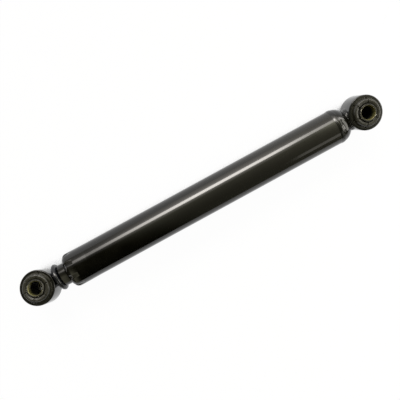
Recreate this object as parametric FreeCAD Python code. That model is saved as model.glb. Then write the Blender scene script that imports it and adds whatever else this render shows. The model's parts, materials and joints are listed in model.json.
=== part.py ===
"""Twin-tube hydraulic steering damper with a rubber-bushed eye at each end, rod fully in.

Origin at the centre of the base eye. +X runs along the damper to the rod eye, +Z along the base eye's
bolt. Millimetres. Radial sizes build outwards from the rod's threaded spigot to the outer tube.
"""
import FreeCAD, Part
import math
import os

# Overall
closed_length = 375.0  # eye centre to eye centre, rod fully in
rod_eye_turn_deg = 16.0  # rod eye's turn about the damper's axis, as it was set down

# Eyes
sleeve_bore = 14.2  # for a 14 mm bolt
sleeve_wall = 1.8
sleeve_length = 38.0
sleeve_chamfer = 0.5
bond_gap = 0.05  # running gap between sleeve and rubber
rubber_thickness = 6.05
eye_wall = 3.0
eye_width = 25.0
eye_edge_radius = 1.0
eye_inner_chamfer = 0.5
bush_proud = 5.5  # rubber face beyond the ring's face
bush_crown_offset = 2.8  # crown of the rubber bulge, out from the sleeve
bush_dish = 1.8  # dip of the rubber face at the sleeve
bush_root_step = 0.8  # dark gap between the ring's edge and the rubber bulge
bush_groove_count = 6  # radial moulded grooves in each face
bush_groove_width = 1.2
bush_groove_depth = 0.9

# Piston rod and piston
rod_d = 12.0
spigot_d = 8.0
bore_fit = 0.05  # radial fit of washers, discs and pistons on their studs
port_wall = 0.7  # metal between a ring of ports and the bore inside it
rebound_port_d = 1.6
compression_port_d = 1.8
port_count = 6
seat_land = 0.5  # overlap of a disc or plate beyond its ports
port_step = 0.15  # gap from a disc's edge to the next ring of ports
groove_wall = 0.9  # metal between the outer ports and the band groove
band_thickness = 1.2
band_width = 7.8
band_side_gap = 0.1
band_root_gap = 0.07
band_running_gap = 0.03
band_slit = 0.6
piston_land_gap = 0.3  # piston body to cylinder wall
piston_length = 14.0
rod_chamfer = 0.8
rod_tip = 1.0  # spigot standing out of the nut
piston_nut_thickness = 6.5
piston_nut_flats = 13.0
rebound_washer_thickness = 1.5
rebound_washer_rim = 1.3  # washer radius inside the discs' radius
disc_thickness = 0.3
rebound_disc_count = 4
rebound_disc_step = 0.25  # each disc further from the piston is this much smaller in radius
stop_washer_thickness = 1.5
stop_spacing = 15.2  # valve stack to rebound stop ring
stop_ring_thickness = 2.0
stop_ring_section = 3.5  # radial, from the groove's floor
stop_groove_depth = 1.0
stop_ring_mouth = 3.0
rebound_bumper_length = 8.0
rebound_bumper_section = 3.5
bumper_edge_radius = 1.5
end_stop_gap = 0.3  # left between stops at the limits of travel

# Check valves
plate_thickness = 0.8
plate_tab_width = 2.4
plate_running_gap = 0.06
plate_tab_count = 3
spring_height = 1.6
spring_sheet = 0.3
spring_hub_land = 1.4
spring_finger_width = 2.0
spring_plate_gap = 0.1

# Tubes
cylinder_wall = 1.0
reserve_gap = 4.5  # annular oil space around the working cylinder
tube_wall = 1.5
tube_end_radius = 5.5  # outer corner where the tube end is rolled over
tube_swell_height = 0.2  # tube stands proud over the gland
tube_swell_length = 6.5
tube_swell_ramp = 3.0
tube_fit = 0.05  # radial fit of what is pressed into the tube
lip_gap = 0.2  # rolled lip to the gland's neck
crimp_count = 8
crimp_turn_deg = -9.0  # first crimp's turn from straight above
crimp_ball_radius = 8.0
crimp_depth = 0.9
gas_cell_margin = 22.0  # from each end of the working cylinder
gas_cell_gap = 0.3
gas_cell_wrap_deg = 300.0

# Base cap and base valve
base_gap = 0.3  # root gap between cap and eye, closed by the weld
dome_radius = 14.0
dome_seat_radius = 10.5  # flat of the dome against the eye
cap_floor = 2.5
cap_rim = 0.6  # straight rim between dome and seam
cap_skirt_wall = 1.6
cap_skirt_length = 8.0
seam_bead_on_tube = 2.4  # how far the bead runs past the seam
seam_bead_on_dome = 2.4
seam_bead_height = 0.35
base_weld_inner_radius = 9.0
base_weld_neck_radius = 11.3
base_weld_toe_radius = 12.0
foot_height = 7.5
foot_slot_width = 8.0
foot_edge_gap = 0.3
foot_room = 0.8  # between discs and feet
valve_flange = 6.0
valve_flange_rim = 1.0  # beyond the working cylinder
valve_spigot = 5.0
valve_stud_d = 5.0
valve_stud_tip = 1.0
valve_nut_thickness = 3.5
valve_nut_flats = 8.0
valve_washer_thickness = 1.0
valve_head_thickness = 1.5
valve_head_rim = 2.6
compression_disc_count = 3
base_port_d = 1.8
base_port_count = 4
intake_port_d = 2.2
intake_port_spread_deg = 18.0
piston_floor_gap = 2.0  # rod tip to base valve, rod fully in

# Gland at the rod end
wiper_section = 3.0
wiper_depth = 4.2
wiper_recess = 0.2
neck_wall = 2.5
neck_length = 8.0  # beyond the rolled tube end
neck_chamfer = 0.8
gland_flange = 6.0
rod_room = 0.5  # radial, where the rod passes clear
lip_running_gap = 0.05
seal_thickness = 6.0
seal_lip_drop = 1.3
garter_wire_r = 0.55
garter_seat_gap = 0.05
guide_flange = 9.0
guide_spigot = 6.0
guide_bush_wall = 1.5
guide_bush_running_gap = 0.03
guide_bush_lip = 1.0
guide_recess_depth = 2.0
guide_recess_section = 3.5
drain_hole_d = 2.5
drain_count = 3
drain_groove_depth = 1.0

# Between the gland's neck and the rod eye
bumper_gap = 0.3
bumper_thickness = 5.4
bumper_od = 28.8
rod_weld_gap = 0.8
rod_weld_neck = 1.5  # weld radius beyond the rod, at the bumper
rod_weld_toe = 2.8  # weld radius beyond the rod, on the eye

# Eye radii and half lengths
sleeve_r = sleeve_bore / 2 + sleeve_wall
bush_inner_r = sleeve_r + bond_gap
eye_inner_r = bush_inner_r + rubber_thickness
eye_r = eye_inner_r + eye_wall
bush_half = eye_width / 2 + bush_proud

# Radii from the spigot outwards
rod_r = rod_d / 2
spigot_r = spigot_d / 2
rebound_ring_r = spigot_r + bore_fit + port_wall + rebound_port_d / 2
rebound_disc_r = rebound_ring_r + rebound_port_d / 2 + seat_land
compression_ring_r = rebound_disc_r + port_step + compression_port_d / 2
check_plate_r = compression_ring_r + compression_port_d / 2 + seat_land
check_plate_inner_r = compression_ring_r - compression_port_d / 2 - seat_land / 2
groove_r = compression_ring_r + compression_port_d / 2 + groove_wall
band_inner_r = groove_r + band_root_gap
band_outer_r = band_inner_r + band_thickness
cylinder_r = band_outer_r + band_running_gap
cylinder_outer_r = cylinder_r + cylinder_wall
tube_inner_r = cylinder_outer_r + reserve_gap
tube_r = tube_inner_r + tube_wall
seated_r = tube_inner_r - tube_fit
valve_stud_r = valve_stud_d / 2
base_ring_r = valve_stud_r + bore_fit + port_wall + base_port_d / 2
compression_disc_r = base_ring_r + base_port_d / 2 + seat_land
intake_ring_r = compression_disc_r + port_step + intake_port_d / 2
intake_plate_r = intake_ring_r + intake_port_d / 2 + seat_land
intake_plate_inner_r = intake_ring_r - intake_port_d / 2 - seat_land / 2
wiper_r = rod_r + wiper_section
neck_r = wiper_r + neck_wall
lip_r = neck_r + lip_gap
end_corner = min(tube_end_radius, tube_r + tube_swell_height - lip_r - lip_gap)

# Places along the axis from the base eye
cap_end_x = eye_r + base_gap
dome_centre_r = tube_r - dome_radius
dome_height = math.sqrt(dome_radius**2 - (dome_seat_radius - dome_centre_r) ** 2)
dome_x = cap_end_x + dome_height
seam_x = dome_x + cap_rim
skirt_inner_r = seated_r - cap_skirt_wall
floor_x = cap_end_x + cap_floor
dome_inner_radius = skirt_inner_r - dome_centre_r
floor_r = dome_centre_r + math.sqrt(dome_inner_radius**2 - (dome_height - cap_floor) ** 2)
valve_under_x = floor_x + foot_height
cylinder_start_x = valve_under_x + valve_flange
valve_top_x = cylinder_start_x + valve_spigot
valve_head_x = valve_top_x + plate_thickness + spring_height
valve_end_x = valve_head_x + valve_head_thickness

# Places of the rod's valve stack, rod fully in
rod_tip_x = valve_end_x + piston_floor_gap
piston_nut_x = rod_tip_x + rod_tip
rebound_washer_x = piston_nut_x + piston_nut_thickness
rebound_discs_x = rebound_washer_x + rebound_washer_thickness
piston_x = rebound_discs_x + rebound_disc_count * disc_thickness
piston_top_x = piston_x + piston_length
check_spring_x = piston_top_x + plate_thickness
stop_washer_x = check_spring_x + spring_height
rod_shoulder_x = stop_washer_x + stop_washer_thickness
stop_ring_x = rod_shoulder_x + stop_spacing
rebound_bumper_x = stop_ring_x + stop_ring_thickness
band_x = piston_x + (piston_length - band_width) / 2

# Places of the gland and the rod eye
bumper_end_x = closed_length - eye_r - rod_weld_gap
bumper_x = bumper_end_x - bumper_thickness
neck_end_x = bumper_x - bumper_gap
tube_end_x = neck_end_x - neck_length
lip_x = tube_end_x - tube_wall
gland_x = lip_x - gland_flange
seal_x = gland_x - seal_thickness
guide_seat_x = seal_x - guide_flange
guide_end_x = guide_seat_x - guide_spigot
guide_recess_x = seal_x - guide_recess_depth
guide_recess_r = rod_r + guide_recess_section
guide_bush_r = rod_r + guide_bush_running_gap + guide_bush_wall
garter_r = rod_r + 2 * seal_lip_drop - garter_wire_r
garter_x = seal_x - seal_lip_drop / 2
drain_ring_r = cylinder_outer_r + (reserve_gap + tube_fit) / 2
stroke = guide_end_x - end_stop_gap - rebound_bumper_x - rebound_bumper_length

V = FreeCAD.Vector
ORIGIN = V(0, 0, 0)
X_AXIS = V(1, 0, 0)
Y_AXIS = V(0, 1, 0)
Z_AXIS = V(0, 0, 1)
FULL_TURN = 360.0
OVERSHOOT = 1.0  # how far a cutter runs past what it cuts
HALF_DIAGONAL = math.sqrt(0.5)


def turned(steps, sweep_deg=FULL_TURN):
    """Turn an outline of (x, r) points about the axis. A step of two points is an arc's middle and end."""
    edges = []
    here = steps[0]
    for step in steps[1:] + steps[:1]:
        if isinstance(step[0], tuple):
            middle, end = step
            arc = Part.Arc(V(here[0], 0, here[1]), V(middle[0], 0, middle[1]), V(end[0], 0, end[1]))
            edges.append(arc.toShape())
        else:
            end = step
            if end != here:
                edges.append(Part.makeLine(V(here[0], 0, here[1]), V(end[0], 0, end[1])))
        here = end
    return Part.Face(Part.Wire(edges)).revolve(ORIGIN, X_AXIS, sweep_deg)


def corner(centre, radius, along, outward, end):
    """A quarter-round step about a centre, bulging along +X or -X and outwards or inwards."""
    middle = (centre[0] + along * radius * HALF_DIAGONAL, centre[1] + outward * radius * HALF_DIAGONAL)
    return (middle, end)


def ring(start_x, end_x, inner_r, outer_r):
    """A plain turned ring or tube."""
    return turned([(start_x, inner_r), (end_x, inner_r), (end_x, outer_r), (start_x, outer_r)])


def rod_between(start_x, end_x, radius):
    """A solid round bar on the damper's axis."""
    return Part.makeCylinder(radius, end_x - start_x, V(start_x, 0, 0), X_AXIS)


def spun(shape, angles_deg):
    """Copies of a shape turned about the damper's axis."""
    copies = []
    for angle in angles_deg:
        copy = shape.copy()
        copy.rotate(ORIGIN, X_AXIS, angle)
        copies.append(copy)
    return copies


def even_angles(count, first_deg=0.0):
    """Angles of an even pattern about the axis."""
    return [first_deg + FULL_TURN * i / count for i in range(count)]


def ports(ring_r, port_d, start_x, end_x, angles_deg):
    """Round cutters parallel to the axis, through a valve body or guide."""
    length = end_x - start_x + 2 * OVERSHOOT
    cutter = Part.makeCylinder(port_d / 2, length, V(start_x - OVERSHOOT, 0, ring_r), X_AXIS)
    return spun(cutter, angles_deg)


def hex_nut(start_x, thickness, across_flats, bore_r):
    """Plain hexagon nut with its corners turned off at both faces."""
    corner_r = across_flats / math.sqrt(3)
    corners = [
        V(start_x, corner_r * math.cos(math.radians(a)), corner_r * math.sin(math.radians(a)))
        for a in even_angles(6)
    ]
    prism = Part.Face(Part.makePolygon(corners + corners[:1])).extrude(X_AXIS * thickness)
    bevel = corner_r - across_flats / 2
    end_x = start_x + thickness
    envelope = turned(
        [
            (start_x, bore_r),
            (end_x, bore_r),
            (end_x, across_flats / 2),
            (end_x - bevel / 2, corner_r),
            (start_x + bevel / 2, corner_r),
            (start_x, across_flats / 2),
        ]
    )
    return prism.common(envelope)


def disc_stack(start_x, count, largest_r, step, bore_r, grows_towards_rod):
    """Thin valve discs face to face, smaller the further they lie from their seat."""
    discs = []
    for i in range(count):
        rank = count - 1 - i if grows_towards_rod else i
        x = start_x + i * disc_thickness
        discs.append(ring(x, x + disc_thickness, bore_r, largest_r - rank * step))
    return Part.makeCompound(discs)


def valve_plate(start_x, inner_r, outer_r, stud_r):
    """Check valve plate: a flat ring guided on its stud by inward tabs."""
    guide_r = stud_r + plate_running_gap
    reach = (inner_r + outer_r) / 2
    end_x = start_x + plate_thickness
    tab = Part.makeBox(plate_thickness, plate_tab_width, reach, V(start_x, -plate_tab_width / 2, 0))
    plate = ring(start_x, end_x, inner_r, outer_r)
    plate = plate.multiFuse(spun(tab, even_angles(plate_tab_count)))
    bore = rod_between(start_x - OVERSHOOT, end_x + OVERSHOOT, guide_r)
    return plate.cut(bore).removeSplitter()


def star_spring(plate_x, plate_r, stud_r):
    """Sheet star spring: a hub under the stop, with fingers bent down to the plate."""
    top_x = plate_x + spring_height
    hub_r = stud_r + bore_fit + spring_hub_land
    hub = ring(top_x - spring_sheet, top_x, stud_r + bore_fit, hub_r)
    foot_x = plate_x + spring_plate_gap
    root_r = hub_r - spring_hub_land / 2
    outline = [
        V(top_x, -spring_finger_width / 2, root_r),
        V(foot_x + spring_sheet, -spring_finger_width / 2, plate_r),
        V(foot_x, -spring_finger_width / 2, plate_r),
        V(top_x - spring_sheet, -spring_finger_width / 2, root_r),
    ]
    finger = Part.Face(Part.makePolygon(outline + outline[:1])).extrude(Y_AXIS * spring_finger_width)
    half_step = FULL_TURN / plate_tab_count / 2
    return hub.multiFuse(spun(finger, even_angles(plate_tab_count, half_step))).removeSplitter()


def at_eye(shape, centre_x, turn_deg):
    """Carry a piece made along +X at the origin to an eye, its length along the eye's bolt."""
    placed = shape.copy()
    placed.rotate(ORIGIN, Y_AXIS, -90)
    placed.rotate(ORIGIN, X_AXIS, turn_deg)
    placed.translate(V(centre_x, 0, 0))
    return placed


def eye_ring():
    """Rolled steel ring with rounded outer edges."""
    half = eye_width / 2
    edge = min(eye_edge_radius, eye_wall / 2)
    bevel = min(eye_inner_chamfer, eye_wall / 4)
    flat_r = eye_r - edge
    return turned(
        [
            (-half, eye_inner_r + bevel),
            (-half + bevel, eye_inner_r),
            (half - bevel, eye_inner_r),
            (half, eye_inner_r + bevel),
            (half, flat_r),
            corner((half - edge, flat_r), edge, 1, 1, (half - edge, eye_r)),
            (edge - half, eye_r),
            corner((edge - half, flat_r), edge, -1, 1, (-half, flat_r)),
        ]
    )


def bush_face(lowered):
    """Outline of the rubber's bulged face from sleeve to ring, lowered towards the bush's middle."""
    root = (eye_width / 2 - lowered, eye_inner_r - bush_root_step)
    crown = (bush_half - lowered, bush_inner_r + bush_crown_offset)
    bulge = (
        root[0] + bush_proud * HALF_DIAGONAL,
        crown[1] + (root[1] - crown[1]) * HALF_DIAGONAL,
    )
    return [(crown[0] - bush_dish, bush_inner_r), crown, (bulge, root)]


def bush_grooves():
    """Cutters for the radial grooves in the rubber's face, each with a floor that follows the bulge."""
    beyond = bush_half + OVERSHOOT
    start_r = bush_inner_r - OVERSHOOT
    floor = bush_face(bush_groove_depth)
    root_r = floor[-1][-1][1]
    above_floor = turned(floor + [(beyond, root_r), (beyond, bush_inner_r)])
    blade = Part.makeBox(
        beyond, bush_groove_width, eye_inner_r - start_r, V(0, -bush_groove_width / 2, start_r)
    )
    return [above_floor.common(copy) for copy in spun(blade, even_angles(bush_groove_count))]


def eye_bush():
    """Rubber bush that fills the ring, with a bulged and grooved face at each side."""
    root_x = eye_width / 2 - eye_inner_chamfer
    half = turned([(0, bush_inner_r)] + bush_face(0) + [(root_x, eye_inner_r), (0, eye_inner_r)])
    half = half.cut(bush_grooves())
    return half.fuse(half.mirror(ORIGIN, X_AXIS)).removeSplitter()


def eye_sleeve():
    """Steel inner sleeve, bevelled at both ends, for the mounting bolt."""
    half = sleeve_length / 2
    bore_r = sleeve_bore / 2
    bevel = min(sleeve_chamfer, sleeve_wall / 3)
    return turned(
        [
            (-half, bore_r + bevel),
            (bevel - half, bore_r),
            (half - bevel, bore_r),
            (half, bore_r + bevel),
            (half, sleeve_r - bevel),
            (half - bevel, sleeve_r),
            (bevel - half, sleeve_r),
            (-half, sleeve_r - bevel),
        ]
    )


def eye_core(centre_x, turn_deg):
    """The round space that an eye ring takes up, to cope what is welded to it."""
    reach = eye_width / 2 + tube_r
    return at_eye(rod_between(-reach, reach, eye_r), centre_x, turn_deg)


def reserve_tube():
    """Outer tube, its rod end swelled over the gland, rolled in and crimped all round."""
    swell_r = tube_r + tube_swell_height
    inner_corner = max(end_corner - tube_wall, tube_wall / 4)
    inner_turn = (lip_x - inner_corner, tube_inner_r - inner_corner)
    outer_turn = (tube_end_x - end_corner, swell_r - end_corner)
    swell_x = tube_end_x - end_corner - tube_swell_length
    shell = turned(
        [
            (seam_x, tube_inner_r),
            (inner_turn[0], tube_inner_r),
            corner(inner_turn, inner_corner, 1, 1, (lip_x, inner_turn[1])),
            (lip_x, lip_r),
            (tube_end_x, lip_r),
            (tube_end_x, outer_turn[1]),
            corner(outer_turn, end_corner, 1, 1, (outer_turn[0], swell_r)),
            (swell_x, swell_r),
            (swell_x - tube_swell_ramp, tube_r),
            (seam_x, tube_r),
        ]
    )
    reach = (end_corner + crimp_ball_radius - crimp_depth) * HALF_DIAGONAL
    ball = Part.makeSphere(crimp_ball_radius, V(outer_turn[0] + reach, 0, outer_turn[1] + reach))
    return shell.cut(spun(ball, even_angles(crimp_count, crimp_turn_deg)))


def dome_radius_at(x):
    """Radius of the base cap's outside at a place on the dome."""
    return dome_centre_r + math.sqrt(dome_radius**2 - (dome_x - x) ** 2)


def dome_outline():
    """Outside of the base cap from the axis to the seam."""
    quarter = (dome_seat_radius - dome_centre_r, dome_height)
    bearing = math.atan2(quarter[1], quarter[0]) / 2
    middle = (
        dome_x - dome_radius * math.sin(bearing),
        dome_centre_r + dome_radius * math.cos(bearing),
    )
    return [(cap_end_x, 0), (cap_end_x, dome_seat_radius), (middle, (dome_x, tube_r)), (seam_x, tube_r)]


def base_cap():
    """Pressed dome with a skirt that plugs into the tube."""
    skirt_x = seam_x + cap_skirt_length
    bearing = math.atan2(dome_height - cap_floor, floor_r - dome_centre_r) / 2
    inner_middle = (
        dome_x - dome_inner_radius * math.sin(bearing),
        dome_centre_r + dome_inner_radius * math.cos(bearing),
    )
    inside = [
        (seam_x, seated_r),
        (skirt_x, seated_r),
        (skirt_x, skirt_inner_r),
        (dome_x, skirt_inner_r),
        (inner_middle, (floor_x, floor_r)),
        (floor_x, 0),
    ]
    return turned(dome_outline() + inside)


def base_seam_weld():
    """Low bead over the seam between cap and tube."""
    start_x = dome_x - seam_bead_on_dome
    end_x = seam_x + seam_bead_on_tube
    crown = ((start_x + end_x) / 2, tube_r + seam_bead_height)
    start = (start_x, dome_radius_at(start_x))
    under_x = dome_x - seam_bead_on_dome / 2
    under = (under_x, dome_radius_at(under_x))
    return turned([start, (crown, (end_x, tube_r)), (dome_x, tube_r), (under, start)])


def base_eye_weld():
    """Saddle of weld metal between the dome's flat and the base eye."""
    inside_x = math.sqrt(max(eye_r**2 - base_weld_toe_radius**2, 0)) - OVERSHOOT
    neck_x = cap_end_x + cap_floor
    saddle = turned(
        [
            (inside_x, base_weld_inner_radius),
            (neck_x, base_weld_inner_radius),
            (neck_x, base_weld_neck_radius),
            (cap_end_x, base_weld_neck_radius),
            (inside_x, base_weld_toe_radius),
        ]
    )
    dome = turned(dome_outline() + [(seam_x, 0)])
    return saddle.cut([eye_core(0, 0), dome])


def rod_eye_weld():
    """Fillet of weld metal round the rod's end, against the rod eye."""
    inside_x = closed_length - math.sqrt(eye_r**2 - (rod_r + rod_weld_toe) ** 2) + OVERSHOOT
    fillet = turned(
        [
            (bumper_end_x, rod_r),
            (bumper_end_x, rod_r + rod_weld_neck),
            (bumper_end_x + rod_weld_gap, rod_r + rod_weld_neck),
            (inside_x, rod_r + rod_weld_toe),
            (inside_x, rod_r),
        ]
    )
    return fillet.cut(eye_core(closed_length, rod_eye_turn_deg))


def base_valve_body():
    """Foot valve body: four feet, a flange under the cylinder, a spigot in it and two rings of ports."""
    foot_r = floor_r - foot_edge_gap
    foot = ring(floor_x, valve_under_x, compression_disc_r + foot_room, foot_r)
    slot = Part.makeBox(
        foot_height, 2 * foot_r + OVERSHOOT, foot_slot_width,
        V(floor_x, -foot_r - OVERSHOOT / 2, -foot_slot_width / 2),
    )
    feet = foot.cut(spun(slot, [0, 90]))
    flange_r = cylinder_outer_r + valve_flange_rim
    body = turned(
        [
            (valve_under_x, valve_stud_r + bore_fit),
            (valve_top_x, valve_stud_r + bore_fit),
            (valve_top_x, cylinder_r - tube_fit),
            (cylinder_start_x, cylinder_r - tube_fit),
            (cylinder_start_x, flange_r),
            (valve_under_x, flange_r),
        ]
    )
    spread = intake_port_spread_deg
    sides = even_angles(base_port_count)
    intake_angles = [a - spread for a in sides] + [a + spread for a in sides]
    cutters = ports(base_ring_r, base_port_d, valve_under_x, valve_top_x, sides)
    cutters += ports(intake_ring_r, intake_port_d, valve_under_x, valve_top_x, intake_angles)
    return body.fuse(feet).cut(cutters).removeSplitter()


def base_valve_stud():
    """Headed stud that clamps the base valve's discs and carries the intake plate."""
    nut_x = valve_under_x - compression_disc_count * disc_thickness - valve_washer_thickness
    tip_x = nut_x - valve_nut_thickness - valve_stud_tip
    shank = rod_between(tip_x, valve_head_x, valve_stud_r)
    return shank.fuse(rod_between(valve_head_x, valve_end_x, valve_stud_r + valve_head_rim)).removeSplitter()


def base_valve_clamp():
    """The discs, washer and nut under the base valve body."""
    bore_r = valve_stud_r + bore_fit
    discs_x = valve_under_x - compression_disc_count * disc_thickness
    washer_x = discs_x - valve_washer_thickness
    discs = disc_stack(discs_x, compression_disc_count, compression_disc_r, rebound_disc_step, bore_r, True)
    washer = ring(washer_x, discs_x, bore_r, compression_disc_r - rebound_washer_rim)
    nut = hex_nut(washer_x - valve_nut_thickness, valve_nut_thickness, valve_nut_flats, bore_r)
    return discs, washer, nut


def gas_cell():
    """Soft gas cell wrapped most of the way round the working cylinder."""
    start_x = cylinder_start_x + gas_cell_margin
    end_x = guide_seat_x - gas_cell_margin
    inner_r = cylinder_outer_r + gas_cell_gap
    outer_r = tube_inner_r - gas_cell_gap
    outline = [(start_x, inner_r), (end_x, inner_r), (end_x, outer_r), (start_x, outer_r)]
    return turned(outline, gas_cell_wrap_deg)


def rod_guide():
    """Sintered guide that closes the cylinder, with a seal recess and drains to the reserve space."""
    bore_r = rod_r + rod_room
    body = turned(
        [
            (guide_end_x, bore_r),
            (guide_end_x + guide_bush_lip, bore_r),
            (guide_end_x + guide_bush_lip, guide_bush_r),
            (guide_recess_x, guide_bush_r),
            (guide_recess_x, guide_recess_r),
            (seal_x, guide_recess_r),
            (seal_x, seated_r),
            (guide_seat_x, seated_r),
            (guide_seat_x, cylinder_r - tube_fit),
            (guide_end_x, cylinder_r - tube_fit),
        ]
    )
    groove = Part.makeBox(
        drain_groove_depth, drain_hole_d, drain_ring_r - rod_r,
        V(seal_x - drain_groove_depth, -drain_hole_d / 2, rod_r),
    )
    angles = even_angles(drain_count)
    holes = ports(drain_ring_r, drain_hole_d, guide_seat_x, seal_x, angles)
    return body.cut(holes + spun(groove, angles)).removeSplitter()


def rod_seal_and_garter():
    """Clamped lip seal and the garter spring that closes its lip on the rod."""
    lip = rod_r + lip_running_gap
    relief = rod_r + 2 * rod_room
    drop_x = seal_x - seal_lip_drop
    heel_r = rod_r + 2 * seal_lip_drop
    seal = turned(
        [
            (drop_x, relief),
            (seal_x, lip),
            (seal_x + seal_lip_drop, relief),
            (gland_x - seal_lip_drop, relief),
            (gland_x - seal_lip_drop / 2, lip),
            (gland_x, relief),
            (gland_x, seated_r),
            (seal_x, seated_r),
            (seal_x, heel_r),
            (drop_x, heel_r),
        ]
    )
    seat = Part.makeTorus(garter_r + garter_wire_r, garter_wire_r + garter_seat_gap, V(garter_x, 0, 0), X_AXIS)
    garter = Part.makeTorus(garter_r + garter_wire_r, garter_wire_r, V(garter_x, 0, 0), X_AXIS)
    return seal.cut(seat), garter


def gland_cap():
    """Steel cap over the seal, its neck standing out of the rolled tube end."""
    bore_r = rod_r + rod_room
    edge = max(end_corner - tube_wall, tube_wall / 4) + lip_gap
    turn = (lip_x - edge, seated_r - edge)
    pocket_x = neck_end_x - wiper_depth
    return turned(
        [
            (gland_x, bore_r),
            (pocket_x, bore_r),
            (pocket_x, wiper_r),
            (neck_end_x, wiper_r),
            (neck_end_x, neck_r - neck_chamfer),
            (neck_end_x - neck_chamfer, neck_r),
            (lip_x, neck_r),
            (lip_x, turn[1]),
            corner(turn, edge, 1, 1, (turn[0], seated_r)),
            (gland_x, seated_r),
        ]
    )


def wiper_ring():
    """Rubber wiper pressed into the neck, its lip towards the weather."""
    start_x = neck_end_x - wiper_depth
    end_x = neck_end_x - wiper_recess
    lip = rod_r + lip_running_gap
    body_r = rod_r + wiper_section / 2
    middle_x = (start_x + end_x) / 2
    return turned(
        [
            (start_x, body_r),
            (middle_x, body_r),
            (end_x - wiper_recess, lip),
            (end_x, lip),
            (end_x, lip + wiper_section / 4),
            (middle_x + wiper_section / 4, body_r + wiper_section / 4),
            (end_x, wiper_r - wiper_section / 8),
            (end_x, wiper_r),
            (start_x, wiper_r),
        ]
    )


def piston_rod():
    """Ground rod with a stepped spigot for the piston, a stop groove and an end coped to the eye."""
    groove_floor_r = rod_r - stop_groove_depth
    stop_end_x = stop_ring_x + stop_ring_thickness
    bar = turned(
        [
            (rod_tip_x, 0),
            (rod_tip_x, spigot_r - rod_chamfer),
            (rod_tip_x + rod_chamfer, spigot_r),
            (rod_shoulder_x, spigot_r),
            (rod_shoulder_x, rod_r),
            (stop_ring_x, rod_r),
            (stop_ring_x, groove_floor_r),
            (stop_end_x, groove_floor_r),
            (stop_end_x, rod_r),
            (closed_length, rod_r),
            (closed_length, 0),
        ]
    )
    return bar.cut(eye_core(closed_length, rod_eye_turn_deg))


def piston():
    """Sintered piston with a band groove and two rings of ports."""
    bore_r = spigot_r + bore_fit
    land_r = cylinder_r - piston_land_gap
    groove_start_x = band_x - band_side_gap
    groove_end_x = band_x + band_width + band_side_gap
    body = turned(
        [
            (piston_x, bore_r),
            (piston_top_x, bore_r),
            (piston_top_x, land_r),
            (groove_end_x, land_r),
            (groove_end_x, groove_r),
            (groove_start_x, groove_r),
            (groove_start_x, land_r),
            (piston_x, land_r),
        ]
    )
    angles = even_angles(port_count)
    between = even_angles(port_count, FULL_TURN / port_count / 2)
    cutters = ports(rebound_ring_r, rebound_port_d, piston_x, piston_top_x, angles)
    cutters += ports(compression_ring_r, compression_port_d, piston_x, piston_top_x, between)
    return body.cut(cutters)


def piston_band():
    """Low-friction band that runs in the cylinder, slit so that it can be sprung into its groove."""
    band = ring(band_x, band_x + band_width, band_inner_r, band_outer_r)
    slit = Part.makeBox(band_width, band_slit, cylinder_r, V(band_x, -band_slit / 2, 0))
    return band.cut(slit)


def rebound_stop_ring():
    """Snap ring in the rod's stop groove."""
    inner_r = rod_r - stop_groove_depth + bore_fit
    outer_r = inner_r + stop_ring_section
    clip = ring(stop_ring_x, stop_ring_x + stop_ring_thickness, inner_r, outer_r)
    mouth = Part.makeBox(
        stop_ring_thickness, stop_ring_mouth, outer_r + OVERSHOOT, V(stop_ring_x, -stop_ring_mouth / 2, 0)
    )
    return clip.cut(mouth)


def rebound_bumper():
    """Moulded bumper that meets the guide at full extension."""
    inner_r = rod_r + bore_fit
    outer_r = inner_r + rebound_bumper_section
    end_x = rebound_bumper_x + rebound_bumper_length
    edge = min(bumper_edge_radius, rebound_bumper_section / 2)
    turn = (end_x - edge, outer_r - edge)
    return turned(
        [
            (rebound_bumper_x, inner_r),
            (end_x, inner_r),
            (end_x, turn[1]),
            corner(turn, edge, 1, 1, (turn[0], outer_r)),
            (rebound_bumper_x, outer_r),
        ]
    )


def compression_bumper():
    """Rubber ring with a full-round rim that cushions the eye against the neck."""
    inner_r = rod_r + bore_fit
    rim_r = bumper_od / 2
    flat_r = rim_r - bumper_thickness / 2
    middle_x = bumper_x + bumper_thickness / 2
    return turned(
        [
            (bumper_x, inner_r),
            (bumper_end_x, inner_r),
            (bumper_end_x, flat_r),
            ((middle_x, rim_r), (bumper_x, flat_r)),
        ]
    )


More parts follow.
